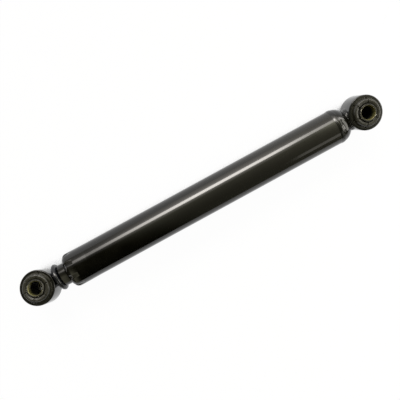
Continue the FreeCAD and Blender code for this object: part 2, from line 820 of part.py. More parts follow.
def build():
    """Every piece by its node name, rod fully in."""
    seal, garter = rod_seal_and_garter()
    base_discs, base_washer, base_nut = base_valve_clamp()
    spigot_bore_r = spigot_r + bore_fit
    pieces = {
        "reserve_tube": reserve_tube(),
        "base_cap": base_cap(),
        "base_seam_weld": base_seam_weld(),
        "base_eye_weld": base_eye_weld(),
        "rod_eye_weld": rod_eye_weld(),
        "working_cylinder": ring(cylinder_start_x, guide_seat_x, cylinder_r, cylinder_outer_r),
        "gas_cell": gas_cell(),
        "base_valve_body": base_valve_body(),
        "base_valve_stud": base_valve_stud(),
        "base_valve_nut": base_nut,
        "base_valve_washer": base_washer,
        "compression_discs": base_discs,
        "intake_plate": valve_plate(valve_top_x, intake_plate_inner_r, intake_plate_r, valve_stud_r),
        "intake_spring": star_spring(valve_top_x + plate_thickness, intake_ring_r, valve_stud_r),
        "rod_guide": rod_guide(),
        "rod_guide_bush": ring(
            guide_end_x + guide_bush_lip, guide_recess_x, rod_r + guide_bush_running_gap, guide_bush_r
        ),
        "rod_seal": seal,
        "seal_garter_spring": garter,
        "gland_cap": gland_cap(),
        "wiper_ring": wiper_ring(),
        "piston_rod": piston_rod(),
        "piston": piston(),
        "piston_band": piston_band(),
        "piston_nut": hex_nut(piston_nut_x, piston_nut_thickness, piston_nut_flats, spigot_bore_r),
        "rebound_washer": ring(
            rebound_washer_x, rebound_discs_x, spigot_bore_r, rebound_disc_r - rebound_washer_rim
        ),
        "rebound_discs": disc_stack(
            rebound_discs_x, rebound_disc_count, rebound_disc_r, rebound_disc_step, spigot_bore_r, True
        ),
        "check_plate": valve_plate(piston_top_x, check_plate_inner_r, check_plate_r, spigot_r),
        "check_spring": star_spring(check_spring_x, compression_ring_r, spigot_r),
        "check_stop_washer": ring(stop_washer_x, rod_shoulder_x, spigot_bore_r, rebound_disc_r),
        "rebound_stop_ring": rebound_stop_ring(),
        "rebound_bumper": rebound_bumper(),
        "compression_bumper": compression_bumper(),
    }
    for end, centre_x, turn_deg in (("base", 0.0, 0.0), ("rod", closed_length, rod_eye_turn_deg)):
        pieces[end + "_eye"] = at_eye(eye_ring(), centre_x, turn_deg)
        pieces[end + "_bush"] = at_eye(eye_bush(), centre_x, turn_deg)
        pieces[end + "_sleeve"] = at_eye(eye_sleeve(), centre_x, turn_deg)
    return pieces


os.makedirs("parts", exist_ok=True)
for name, piece in build().items():
    piece.exportStep("parts/" + name + ".step")
print(f"tube diameter {2 * tube_r:.2f}, eye diameter {2 * eye_r:.2f}, stroke {stroke:.2f}")
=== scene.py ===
import json
import math

import bmesh
import bpy
from mathutils import Matrix, Vector, noise

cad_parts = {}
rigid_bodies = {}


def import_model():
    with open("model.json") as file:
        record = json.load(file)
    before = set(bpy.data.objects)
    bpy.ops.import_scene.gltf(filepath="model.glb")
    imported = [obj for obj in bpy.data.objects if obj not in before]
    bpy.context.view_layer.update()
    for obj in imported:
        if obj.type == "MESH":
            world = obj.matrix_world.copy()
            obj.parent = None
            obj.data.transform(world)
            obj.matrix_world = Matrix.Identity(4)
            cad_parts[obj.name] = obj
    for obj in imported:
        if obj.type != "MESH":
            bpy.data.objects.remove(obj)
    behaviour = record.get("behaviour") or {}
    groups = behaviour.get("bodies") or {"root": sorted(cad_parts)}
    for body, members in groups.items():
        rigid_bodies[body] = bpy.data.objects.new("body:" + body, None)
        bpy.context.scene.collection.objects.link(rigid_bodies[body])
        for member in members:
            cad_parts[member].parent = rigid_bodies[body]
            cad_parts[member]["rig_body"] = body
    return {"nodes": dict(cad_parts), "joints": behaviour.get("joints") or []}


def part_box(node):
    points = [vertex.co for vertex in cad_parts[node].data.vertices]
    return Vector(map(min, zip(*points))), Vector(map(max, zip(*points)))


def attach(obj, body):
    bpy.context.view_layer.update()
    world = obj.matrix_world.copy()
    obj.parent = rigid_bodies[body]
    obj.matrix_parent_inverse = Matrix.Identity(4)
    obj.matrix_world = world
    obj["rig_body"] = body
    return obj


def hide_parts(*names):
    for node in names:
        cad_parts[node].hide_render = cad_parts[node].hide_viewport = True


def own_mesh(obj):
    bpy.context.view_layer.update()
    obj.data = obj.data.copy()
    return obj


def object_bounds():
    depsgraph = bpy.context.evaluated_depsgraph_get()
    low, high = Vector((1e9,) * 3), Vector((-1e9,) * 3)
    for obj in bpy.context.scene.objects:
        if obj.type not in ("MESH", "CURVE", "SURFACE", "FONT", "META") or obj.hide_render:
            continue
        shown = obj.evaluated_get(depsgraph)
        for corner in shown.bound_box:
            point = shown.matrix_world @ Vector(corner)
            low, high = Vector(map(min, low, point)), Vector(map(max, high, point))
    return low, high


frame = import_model()
cad_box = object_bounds()

mm = 0.001
nodes = frame["nodes"]
joints = {joint["name"]: joint for joint in frame["joints"]}

# Eyes
eye_r = 18.0 * mm
eye_inner_r = 15.0 * mm
eye_half = 12.5 * mm
eye_edge = 1.0 * mm
eye_bevel = 0.5 * mm
bevel_round = 0.15 * mm  # where the bevels of rings and sleeves meet their faces
rod_eye_x = joints["rod_sleeve_twist"]["pos_m"][0]
rod_eye_axis = joints["rod_sleeve_twist"]["axis"]
rod_eye_turn = math.atan2(-rod_eye_axis[1], rod_eye_axis[2])

# Sleeves
sleeve_r = 8.9 * mm
sleeve_bore_r = 7.1 * mm
sleeve_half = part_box("base_sleeve")[1].z
sleeve_bevel = 0.5 * mm
sleeve_step = 1.5 * mm  # longest stretch of mesh along a sleeve
overspray_start_r = sleeve_bore_r + 0.7 * sleeve_bevel

# Rubber bushes
bush_inner_r = 8.95 * mm
bush_settle = 0.14 * mm  # keeps the flatter face inside the solid's box
bush_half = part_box("base_bush")[1].z - bush_settle
bush_crown_r = 11.75 * mm
bush_root_r = 14.2 * mm
bush_film = 0.05 * mm  # rubber over the ring's inner bevel stops this short of the ring's face
bush_film_r = eye_inner_r + eye_bevel - 3 * bush_film
bulge_flatness = 0.58  # 1 for a plain elliptic bulge, less for a flatter face
bulge_steps = 14
groove_count = 6
groove_width = 1.2 * mm
groove_depth = 0.9 * mm
groove_reach = 0.75 * groove_width  # from a groove's middle to the top of its side
groove_side = 0.4 * groove_width  # width of that sloping side
base_groove_turn = math.radians(34.5)
rod_groove_turn = math.radians(28.0)
# The face from the sleeve to its crown, as (depth below the crown, distance from the sleeve)
bush_dish = [
    (2.5 * mm, 0.0 * mm),
    (2.5 * mm, 0.1 * mm),
    (1.1 * mm, 0.3 * mm),
    (0.75 * mm, 0.55 * mm),
    (0.45 * mm, 1.0 * mm),
    (0.30 * mm, 1.3 * mm),
    (0.20 * mm, 1.7 * mm),
    (0.11 * mm, 2.2 * mm),
    (0.05 * mm, 2.6 * mm),
]

# Tube and its rolled end
tube_r = 18.0 * mm
tube_wall = 1.5 * mm
seam_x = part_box("reserve_tube")[0].x
tube_end_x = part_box("reserve_tube")[1].x
swell_height = 0.2 * mm
swell_r = tube_r + swell_height
swell_length = 6.5 * mm
swell_ramp = 14.0 * mm
swell_round = 60.0 * mm
end_corner = 5.5 * mm
lip_r = 11.7 * mm
lip_x = tube_end_x - tube_wall
lip_round = 0.4 * mm
lip_waver = 0.18 * mm  # unevenness of the lip's outer edge
lip_waver_reach = 0.6 * mm  # how far out from the bore that edge goes
lip_waver_start_x = lip_x + 0.5 * mm
crimp_count = 8
crimp_turn = math.radians(81)
crimp_length = 8.2 * mm
crimp_half_width = 2.7 * mm
crimp_wall = 1.5 * mm
crimp_depth = 0.9 * mm
crimp_step = 0.3 * mm  # longest stretch of mesh over the crimps
crimp_end_r = lip_r + 0.5 * mm
crimp_fade = 0.5  # crimps fade where less than this share of the surface's direction is radial

# Base cap
cap_start_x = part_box("base_cap")[0].x
skirt_end_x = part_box("base_cap")[1].x
dome_arc_r = 14.0 * mm
dome_run = 0.6 * mm  # straight stretch between the dome and the seam
dome_centre = (seam_x - dome_run, tube_r - dome_arc_r)
cap_floor = 2.5 * mm
skirt_clearance = 0.05 * mm
skirt_r = tube_r - tube_wall - skirt_clearance
skirt_wall = 1.6 * mm

# Welds
weld_sink = 0.08 * mm  # weld metal reaching into what it joins
bead_start_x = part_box("base_seam_weld")[0].x
bead_end_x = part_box("base_seam_weld")[1].x
bead_height = 0.35 * mm
bead_fill = 0.78  # share of that height all round
bead_lump = 0.25  # share of it that the lump adds
bead_lump_turn = math.radians(200)
bead_lump_width = 0.09  # in radians round the tube
bead_fullness = 0.8  # 1 for a bead shaped like a sine wave, less for a fuller one
bead_ripples = 84
bead_ripple_height = 0.05 * mm
bead_ripple_lag = 7.0  # how far the ripples trail at the bead's middle
bead_waver = 0.05 * mm
bead_steps = 18
base_weld_inner_r = 9.0 * mm
base_weld_neck_r = 11.3 * mm
base_weld_toe_r = 12.0 * mm
base_weld_ripples = 26
base_weld_ripple_height = 0.30 * mm
rod_weld_neck_r = 7.5 * mm
rod_weld_toe_r = 8.8 * mm
rod_weld_ripples = 17
rod_weld_ripple_height = 0.28 * mm
saddle_bend = 0.55  # where between toe and neck a saddle weld bends
saddle_dip = 0.1 * mm  # how far it sags there
saddle_ripple_lag = 5.0
saddle_ripple_share = 0.6
saddle_waver_share = 1.2
saddle_steps = 16

# Gland neck and wiper
rod_r = 6.0 * mm
neck_r = 11.5 * mm
neck_end_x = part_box("gland_cap")[1].x
neck_bevel = 0.8 * mm
neck_round = 0.3 * mm
gland_start_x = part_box("gland_cap")[0].x
gland_bore_r = rod_r + 0.5 * mm
gland_corner = end_corner - tube_wall + 0.2 * mm
wiper_pocket_r = 9.0 * mm
wiper_pocket_round = 0.2 * mm
wiper_start_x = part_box("wiper_ring")[0].x
wiper_end_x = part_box("wiper_ring")[1].x
wiper_middle_x = (wiper_start_x + wiper_end_x) / 2
wiper_body_r = rod_r + 1.5 * mm
wiper_body_round = 0.4 * mm
wiper_lip_r = rod_r + 0.05 * mm
wiper_lip = 0.75 * mm
wiper_lip_round = 0.2 * mm
wiper_edge_length = 0.2 * mm
wiper_edge_height = 0.1 * mm
wiper_edge_round = 0.04 * mm
wiper_valley_round = 0.3 * mm
wiper_rim = 0.375 * mm

# Bumper
bumper_start_x, bumper_end_x = (corner.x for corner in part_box("compression_bumper"))
bumper_r = 14.4 * mm
bumper_bore_r = rod_r + 0.1 * mm
bumper_bevel = 0.3 * mm
bumper_tilt = math.radians(2.2)
bumper_room = 0.2 * mm  # left at each side for the tilt
flash_height = 0.12 * mm
flash_half_deg = 2

# Rod and valve springs
rod_tip_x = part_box("piston_rod")[0].x
rod_shoulder_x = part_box("check_stop_washer")[1].x
rod_shoulder_round = 0.3 * mm
stop_groove = [corner.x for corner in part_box("rebound_stop_ring")]
stop_groove_r = rod_r - 1.0 * mm
spigot_r = 4.0 * mm
spigot_bevel = 0.8 * mm
thread_pitch = 1.25 * mm
thread_depth = 0.45 * mm
thread_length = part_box("piston_nut")[1].x - rod_tip_x
thread_steps = 6  # mesh rows in each turn of the thread
coped_shares = (1.0, 0.7, 0.35, 0.0)  # of the rod's radius, where its coped end has points

# Mesh density
SEGMENTS = 192
FINE_SEGMENTS = 384
ROD_SEGMENTS = 96
MERGE = 1e-7
SHARP_ANGLE = math.radians(38)
BORE_DEPTH = "bore_depth"  # how far inside the sleeve's bore a point lies
OVERSPRAY = "overspray"  # 1 where the black paint reached a sleeve

# Camera, found from the eyes' places and the tube's widths in the photograph
aim = Vector((189.5 * mm, -0.4 * mm, 0.0))
camera_distance = 540.0 * mm
camera_lean = math.radians(10.7)  # towards -Y from straight above
camera_tip = math.radians(0.84)  # towards the rod eye
camera_roll = math.radians(28.6)
camera_lens = 47.2
camera_sensor = 36.0

# Floor and light
floor_half = 6.0
floor_grey = (0.86, 0.86, 0.86, 1)
floor_glow = 0.97  # share of the floor's own light in what is seen of it
hollow_reach = 45.0 * mm  # how far away the part can close the floor in
hollow_samples = 12
lamp_tint = (1.0, 0.96, 0.87)
warm_tint = (0.97, 0.96, 0.72)
pale_tint = (1.0, 0.955, 0.90)
rod_tint = (1.0, 0.96, 0.68)
white = (1.0, 1.0, 1.0)
far_strength = 2.0
wall_strength = 1.5
key_strength = 17.0
rod_strength = 1.0
far_slant = -0.06  # how much the far light shifts along the part with each radian about it


def arc(centre, radius, start_deg, end_deg, steps=12):
    """Points of an arc in the (x, r) plane."""
    span = end_deg - start_deg
    angles = [math.radians(start_deg + span * i / steps) for i in range(steps + 1)]
    return [(centre[0] + radius * math.cos(a), centre[1] + radius * math.sin(a)) for a in angles]


def rounded(corners, steps=8):
    """A closed outline through (x, r) corners. A third number rounds that corner."""
    points = []
    for i, (x, r, *rounding) in enumerate(corners):
        here = Vector((x, r))
        if not rounding:
            points.append((x, r))
            continue
        before = (Vector(corners[i - 1][:2]) - here).normalized()
        after = (Vector(corners[(i + 1) % len(corners)][:2]) - here).normalized()
        half = before.angle(after) / 2
        centre = here + (before + after).normalized() * (rounding[0] / math.sin(half))
        tangent = rounding[0] / math.tan(half)
        first = here + before * tangent - centre
        last = here + after * tangent - centre
        start = math.atan2(first.y, first.x)
        span = math.remainder(math.atan2(last.y, last.x) - start, math.tau)
        points += arc(centre, rounding[0], math.degrees(start), math.degrees(start + span), steps)
    return points


def dense(points, step, from_x=-math.inf):
    """The same closed outline with no stretch beyond from_x longer than step."""
    result = []
    for a, b in zip(points, points[1:] + points[:1]):
        cuts = 1
        if min(a[0], b[0]) >= from_x:
            cuts = max(1, math.ceil(math.dist(a, b) / step))
        for k in range(cuts):
            result.append((a[0] + (b[0] - a[0]) * k / cuts, a[1] + (b[1] - a[1]) * k / cuts))
    return result


def spun(name, section, segments=SEGMENTS, place=Matrix()):
    """A closed round piece about the X axis, from its (x, r) outline at each turn about that axis."""
    mesh = bmesh.new()
    rows = []
    for k in range(segments):
        turn = math.tau * k / segments
        across, up = math.cos(turn), math.sin(turn)
        rows.append([mesh.verts.new((x, r * across, r * up)) for x, r in section(turn)])
    for row, after in zip(rows, rows[1:] + rows[:1]):
        for i in range(len(row)):
            mesh.faces.new((row[i - 1], row[i], after[i], after[i - 1]))
    bmesh.ops.remove_doubles(mesh, verts=mesh.verts, dist=MERGE)
    loose = [edge for edge in mesh.edges if not edge.link_faces]
    bmesh.ops.delete(mesh, geom=loose, context="EDGES")
    bmesh.ops.recalc_face_normals(mesh, faces=mesh.faces)
    mesh.transform(place)
    data = bpy.data.meshes.new(name)
    mesh.to_mesh(data)
    mesh.free()
    data.shade_smooth()
    data.set_sharp_from_angle(angle=SHARP_ANGLE)
    piece = bpy.data.objects.new(name, data)
    bpy.context.scene.collection.objects.link(piece)
    return piece


def turned(name, outline, segments=SEGMENTS, place=Matrix()):
    """A piece with the same outline all round."""
    return spun(name, lambda turn: outline, segments, place)


def at_eye(centre_x, turn):
    """Carries a piece made along +X to an eye, with its length along the eye's bolt."""
    return (
        Matrix.Translation((centre_x, 0, 0))
        @ Matrix.Rotation(turn, 4, "X")
        @ Matrix.Rotation(math.radians(-90), 4, "Y")
    )


def wrapped(angle):
    """An angle brought between minus and plus half a turn."""
    return math.remainder(angle, math.tau)


def from_nearest(turn, first, count):
    """The angle to the nearest of some places spaced evenly round from a first one."""
    pitch = math.tau / count
    return wrapped(turn - first - pitch * round((turn - first) / pitch))


def eased(value):
    """Smooth step from 0 to 1."""
    value = min(max(value, 0.0), 1.0)
    return value * value * (3 - 2 * value)


def uneven(x, r, turn, scale, seed):
    """Smooth noise over a round surface, from about -1 to 1, the same in every run."""
    point = Vector((x, r * math.cos(turn), r * math.sin(turn))) * scale
    return noise.noise(point + Vector((seed, seed, seed)))


def new_material(name):
    """A material, its node tree and its shader."""
    material = bpy.data.materials.new(name)
    material.use_nodes = True
    tree = material.node_tree
    return material, tree, tree.nodes["Principled BSDF"]


def noise_field(tree, scale, detail=3.0, stretch=(1, 1, 1)):
    """Noise by place on the piece, in lumps of about 1 / scale metres."""
    place = tree.nodes.new("ShaderNodeTexCoord")
    mapping = tree.nodes.new("ShaderNodeMapping")
    mapping.inputs["Scale"].default_value = stretch
    field = tree.nodes.new("ShaderNodeTexNoise")
    field.inputs["Scale"].default_value = scale
    field.inputs["Detail"].default_value = detail
    tree.links.new(place.outputs["Object"], mapping.inputs["Vector"])
    tree.links.new(mapping.outputs["Vector"], field.inputs["Vector"])
    return field.outputs["Fac"]


def mesh_field(tree, name):
    """A value stored on the mesh."""
    node = tree.nodes.new("ShaderNodeAttribute")
    node.attribute_name = name
    return node.outputs["Fac"]


def ramp(tree, source, stops):
    """Colours along a field, as (place, colour) stops."""
    node = tree.nodes.new("ShaderNodeValToRGB")
    elements = node.color_ramp.elements
    while len(elements) < len(stops):
        elements.new(0.5)
    for element, (position, colour) in zip(elements, stops):
        element.position = position
        element.color = (*colour, 1)
    tree.links.new(source, node.inputs["Fac"])
    return node.outputs["Color"]


def spread(tree, source, low, high, start=0.3, end=0.7):
    """A field's stretch from start to end turned into values from low to high."""
    node = tree.nodes.new("ShaderNodeMapRange")
    for socket, value in zip(("From Min", "From Max", "To Min", "To Max"), (start, end, low, high)):
        node.inputs[socket].default_value = value
    tree.links.new(source, node.inputs["Value"])
    return node.outputs["Result"]


def combined(tree, operation, first, second):
    """Two fields joined by one math operation."""
    node = tree.nodes.new("ShaderNodeMath")
    node.operation = operation
    tree.links.new(first, node.inputs[0])
    tree.links.new(second, node.inputs[1])
    return node.outputs[0]


def over(tree, base, top, factor):
    """One plain colour laid over a varied one by a field."""
    node = tree.nodes.new("ShaderNodeMix")
    node.data_type = "RGBA"
    tree.links.new(factor, node.inputs["Factor"])
    tree.links.new(base, node.inputs["A"])
    node.inputs["B"].default_value = (*top, 1)
    return node.outputs["Result"]


def times(tree, first, second):
    """The product of two colours."""
    node = tree.nodes.new("ShaderNodeMix")
    node.data_type = "RGBA"
    node.blend_type = "MULTIPLY"
    node.inputs["Factor"].default_value = 1.0
    tree.links.new(first, node.inputs["A"])
    tree.links.new(second, node.inputs["B"])
    return node.outputs["Result"]


def relief(tree, heights):
    """Bump from a list of (field, height in metres)."""
    normal = None
    for field, height in heights:
        node = tree.nodes.new("ShaderNodeBump")
        node.inputs["Distance"].default_value = height
        tree.links.new(field, node.inputs["Height"])
        if normal:
            tree.links.new(normal, node.inputs["Normal"])
        normal = node.outputs["Normal"]
    return normal


def edges(tree, start, end):
    """Where a surface is convex, from 0 to 1."""
    geometry = tree.nodes.new("ShaderNodeNewGeometry")
    return spread(tree, geometry.outputs["Pointiness"], low=0.0, high=1.0, start=start, end=end)


def gloss_enamel():
    """Black enamel, faintly brown, with shallow orange peel and thin paint on its edges."""
    material, tree, shader = new_material("gloss_black_enamel")
    clouds = noise_field(tree, scale=45.0)
    tint = ramp(tree, clouds, [(0.3, (0.0016, 0.0015, 0.0008)), (0.7, (0.0028, 0.0026, 0.0016))])
    thin_paint = (0.022, 0.021, 0.017)
    tint = over(tree, tint, thin_paint, edges(tree, start=0.54, end=0.64))
    tree.links.new(tint, shader.inputs["Base Color"])
    haze = noise_field(tree, scale=90.0)
    tree.links.new(spread(tree, haze, low=0.08, high=0.13), shader.inputs["Roughness"])
    peel = noise_field(tree, scale=300.0, detail=2.0)
    peel_height = 0.0012 * mm
    tree.links.new(relief(tree, [(peel, peel_height)]), shader.inputs["Normal"])
    shader.inputs["IOR"].default_value = 1.52
    return material


def rubber(name, dark, bloom, rough):
    """Moulded rubber with a grey bloom and a fine grain."""
    material, tree, shader = new_material(name)
    clouds = noise_field(tree, scale=160.0, detail=5.0)
    tint = ramp(tree, clouds, [(0.32, dark), (0.72, bloom)])
    specks = noise_field(tree, scale=1400.0, detail=1.0)
    dust = spread(tree, specks, low=0.0, high=0.35, start=0.66, end=0.78)
    dust_tint = tuple(2.2 * c for c in bloom)
    tint = over(tree, tint, dust_tint, dust)
    tree.links.new(tint, shader.inputs["Base Color"])
    low, high = rough
    haze = noise_field(tree, scale=240.0)
    tree.links.new(spread(tree, haze, low, high), shader.inputs["Roughness"])
    grain = noise_field(tree, scale=2400.0, detail=2.0)
    grain_height = 0.004 * mm
    swells = noise_field(tree, scale=220.0, detail=2.0)
    swell_depth = 0.012 * mm
    tree.links.new(relief(tree, [(grain, grain_height), (swells, swell_depth)]), shader.inputs["Normal"])
    shader.inputs["IOR"].default_value = 1.52
    return material


def metal(name, dull, bright, rough, stretch, grain_height):
    """Bare or plated metal, its colour varied in patches and its tool marks drawn out along one way."""
    material, tree, shader = new_material(name)
    patches = noise_field(tree, scale=150.0, detail=4.0)
    tree.links.new(ramp(tree, patches, [(0.3, dull), (0.7, bright)]), shader.inputs["Base Color"])
    marks = noise_field(tree, scale=500.0, detail=3.0, stretch=stretch)
    low, high = rough
    tree.links.new(spread(tree, marks, low, high), shader.inputs["Roughness"])
    tree.links.new(relief(tree, [(marks, grain_height)]), shader.inputs["Normal"])
    shader.inputs["Metallic"].default_value = 1.0
    return material


def yellow_zinc():
    """Yellow zinc in the bore, with painted shade that darkens it the deeper it lies, and black overspray
    that is worn off the rims.
    """
    material, tree, shader = new_material("yellow_zinc")
    film = noise_field(tree, scale=190.0, detail=3.0)
    stops = [(0.3, (0.22, 0.22, 0.09)), (0.5, (0.25, 0.235, 0.09)), (0.7, (0.28, 0.24, 0.10))]
    tint = ramp(tree, film, stops)
    # Painted shade: the bore's wall turns near-black with depth, in place of the shade deep inside it
    depth = spread(tree, mesh_field(tree, BORE_DEPTH), low=0.0, high=1.0, start=2.5 * mm, end=9.0 * mm)
    painted_bore_shade = (0.010, 0.010, 0.008)
    tint = over(tree, tint, painted_bore_shade, depth)
    thin_paint = (0.040, 0.039, 0.032)
    tint = over(tree, tint, thin_paint, mesh_field(tree, OVERSPRAY))
    scuffs = noise_field(tree, scale=260.0, detail=2.0)
    patchy = spread(tree, scuffs, low=0.25, high=1.0, start=0.38, end=0.54)
    worn = combined(tree, "MULTIPLY", edges(tree, start=0.52, end=0.60), patchy)
    bare_rim = (0.62, 0.60, 0.50)
    tint = over(tree, tint, bare_rim, worn)
    tree.links.new(tint, shader.inputs["Base Color"])
    turning = noise_field(tree, scale=700.0, detail=3.0, stretch=(0.15, 0.15, 1.0))
    polish = spread(tree, turning, low=0.22, high=0.36)
    grime = spread(tree, depth, low=0.0, high=0.9, start=0.0, end=1.0)
    tree.links.new(combined(tree, "MAXIMUM", polish, grime), shader.inputs["Roughness"])
    turning_height = 0.012 * mm
    tree.links.new(relief(tree, [(turning, turning_height)]), shader.inputs["Normal"])
    shader.inputs["Metallic"].default_value = 0.6
    return material


def moulding(name, dark, light, rough):
    """Plain polymer with faint flow marks."""
    material, tree, shader = new_material(name)
    flow = noise_field(tree, scale=260.0, detail=4.0, stretch=(0.4, 1, 1))
    tree.links.new(ramp(tree, flow, [(0.3, dark), (0.7, light)]), shader.inputs["Base Color"])
    low, high = rough
    tree.links.new(spread(tree, flow, low, high), shader.inputs["Roughness"])
    flow_height = 0.02 * mm
    tree.links.new(relief(tree, [(flow, flow_height)]), shader.inputs["Normal"])
    return material


round_marks = (1.0, 0.06, 0.06)
even_marks = (1.0, 1.0, 1.0)
finishes = {
    "black_paint": gloss_enamel(),
    "bush_rubber": rubber(
        "bush_rubber_satin",
        dark=(0.010, 0.0096, 0.0055),
        bloom=(0.018, 0.017, 0.0105),
        rough=(0.32, 0.41),
    ),
    "bumper_rubber": rubber(
        "bumper_rubber_matt",
        dark=(0.004, 0.0045, 0.006),
        bloom=(0.008, 0.009, 0.011),
        rough=(0.15, 0.23),
    ),
    "zinc_plate": yellow_zinc(),
    "hard_chrome": metal(
        "ground_chrome",
        dull=(0.66, 0.67, 0.69),
        bright=(0.76, 0.77, 0.79),
        rough=(0.06, 0.13),
        stretch=round_marks,
        grain_height=0.002 * mm,
    ),
    "bright_steel": metal(
        "machined_steel",
        dull=(0.42, 0.42, 0.44),
        bright=(0.55, 0.55, 0.56),
        rough=(0.22, 0.36),
        stretch=round_marks,
        grain_height=0.01 * mm,
    ),
    "spring_steel": metal(
        "blued_spring_steel",
        dull=(0.24, 0.26, 0.31),
        bright=(0.38, 0.38, 0.40),
        rough=(0.25, 0.38),
        stretch=even_marks,
        grain_height=0.004 * mm,
    ),
    "sintered_iron": metal(
        "sintered_iron_grey",
        dull=(0.12, 0.118, 0.115),
        bright=(0.20, 0.195, 0.19),
        rough=(0.5, 0.68),
        stretch=even_marks,
        grain_height=0.03 * mm,
    ),
    "bronze": metal(
        "porous_bronze",
        dull=(0.42, 0.27, 0.12),
        bright=(0.56, 0.38, 0.19),
        rough=(0.3, 0.45),
        stretch=round_marks,
        grain_height=0.01 * mm,
    ),
    "band_polymer": moulding(
        "filled_band_polymer",
        dark=(0.075, 0.066, 0.052),
        light=(0.12, 0.108, 0.09),
        rough=(0.45, 0.6),
    ),
    "stop_polymer": moulding(
        "natural_nylon",
        dark=(0.56, 0.54, 0.45),
        light=(0.66, 0.64, 0.56),
        rough=(0.35, 0.5),
    ),
    "seal_rubber": rubber(
        "seal_rubber_nitrile",
        dark=(0.014, 0.014, 0.014),
        bloom=(0.026, 0.026, 0.026),
        rough=(0.42, 0.55),
    ),
    "cell_film": moulding(
        "nylon_cell_film",
        dark=(0.48, 0.49, 0.45),
        light=(0.60, 0.61, 0.57),
        rough=(0.25, 0.4),
    ),
}


def stands_for(piece, node):
    """The piece takes a node's place, its body and its finish."""
    cad = nodes[node]
    slot = cad.data.materials[0].name
    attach(piece, cad["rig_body"])
    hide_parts(node)
    piece.data.materials.append(finishes[slot])


def reserve_tube():
    """Outer tube: swelled over the gland, rolled in at the rod end and crimped all round."""
    inner_r = tube_r - tube_wall
    swell_x = tube_end_x - end_corner - swell_length
    outline = rounded(
        [
            (seam_x, inner_r),
            (lip_x, inner_r, end_corner - tube_wall),
            (lip_x, lip_r),
            (tube_end_x, lip_r, lip_round),
            (tube_end_x, swell_r, end_corner),
            (swell_x, swell_r, swell_round),
            (swell_x - swell_ramp, tube_r, swell_round),
            (seam_x, tube_r),
        ],
        steps=16,
    )
    outline = dense(outline, crimp_step, tube_end_x - crimp_length - crimp_wall)
    corner = Vector((tube_end_x - end_corner, swell_r - end_corner))
    dent_x = tube_end_x - crimp_length + crimp_half_width

    def section(turn):
        aside = from_nearest(turn, crimp_turn, crimp_count)
        crimped = []
        for x, r in outline:
            outward = Vector((max(x - corner.x, 0.0), r - corner.y)).normalized()
            inside = crimp_half_width - math.hypot(min(x - dent_x, 0.0), aside * r)
            if r > crimp_end_r and outward.y > 0:
                sunk = crimp_depth * eased(inside / crimp_wall) * eased(outward.y / crimp_fade)
                x -= sunk * outward.x
                r -= sunk * outward.y
            if r < lip_r + lip_waver_reach and x > lip_waver_start_x:
                r += lip_waver * uneven(0, r, turn, scale=900, seed=3)
            crimped.append((x, r))
        return crimped

    stands_for(spun("outer_tube", section, FINE_SEGMENTS), "reserve_tube")


def dome_r(x):
    """Radius of the cap and tube surface at a place along the axis."""
    back = max(dome_centre[0] - x, 0.0)
    return dome_centre[1] + math.sqrt(dome_arc_r**2 - back**2)


def base_cap():
    """Pressed dome with a skirt plugged into the tube."""
    floor_x = cap_start_x + cap_floor
    skirt_inner_r = skirt_r - skirt_wall
    inner_arc_r = skirt_inner_r - dome_centre[1]
    flat_deg = 180 - math.degrees(math.acos((dome_centre[0] - cap_start_x) / dome_arc_r))
    floor_deg = 180 - math.degrees(math.acos((dome_centre[0] - floor_x) / inner_arc_r))
    outline = [(cap_start_x, 0.0)]
    outline += arc(dome_centre, dome_arc_r, flat_deg, 90, steps=32)
    outline += [(seam_x, tube_r), (seam_x, skirt_r)]
    outline += [(skirt_end_x, skirt_r), (skirt_end_x, skirt_inner_r)]
    outline += arc(dome_centre, inner_arc_r, 90, floor_deg, steps=16)
    outline += [(floor_x, 0.0)]
    stands_for(turned("domed_cap", outline), "base_cap")


def base_seam_weld():
    """Low machine-laid bead with its ripples, and the lump where the run closed on itself."""

    def section(turn):
        lump = math.exp(-((wrapped(turn - bead_lump_turn) / bead_lump_width) ** 2))
        full = bead_height * (bead_fill + bead_lump * lump)
        outside = []
        inside = []
        for i in range(bead_steps + 1):
            share = i / bead_steps
            x = bead_start_x + (bead_end_x - bead_start_x) * share
            crown = math.sin(math.pi * share)
            wave = math.cos(bead_ripples * turn - bead_ripple_lag * crown)
            height = full * crown**bead_fullness + bead_ripple_height * crown * wave
            height += bead_waver * crown * uneven(x, tube_r, turn, scale=260, seed=5)
            outside.append((x, dome_r(x) + height))
            inside.append((x, dome_r(x) - weld_sink))
        return outside + inside[::-1]

    stands_for(spun("seam_bead", section, FINE_SEGMENTS), "base_seam_weld")


def eye_weld(node, eye_x, side, eye_turn, neck, toe_r, inner_r, ripples, ripple_height):
    """Saddle of hand-laid weld from a neck on the axis to an eye ring's side."""

    def section(turn):
        def on_eye(r):
            across = r * math.cos(turn - eye_turn)
            return eye_x + side * (math.sqrt(eye_r**2 - across**2) - weld_sink)

        toe = Vector((on_eye(toe_r), toe_r))
        end = Vector(neck)
        pull_x = toe.x * (1 - saddle_bend) + end.x * saddle_bend
        pull = Vector((pull_x, min(toe.y, end.y) - saddle_dip))
        outside = []
        for i in range(saddle_steps + 1):
            share = i / saddle_steps
            point = toe * (1 - share) ** 2 + pull * 2 * share * (1 - share) + end * share**2
            crown = math.sin(math.pi * share)
            wave = math.cos(ripples * turn + saddle_ripple_lag * share)
            waver = uneven(point.x, point.y, turn, scale=330, seed=9)
            lift = ripple_height * crown * (saddle_ripple_share * wave + saddle_waver_share * waver)
            outside.append((point.x, point.y + lift))
        inside = [(neck[0], inner_r)]
        inside += [(on_eye(r), r) for r in (inner_r, (inner_r + toe_r) / 2)]
        return outside + inside

    stands_for(spun(node.replace("eye_weld", "saddle_weld"), section), node)


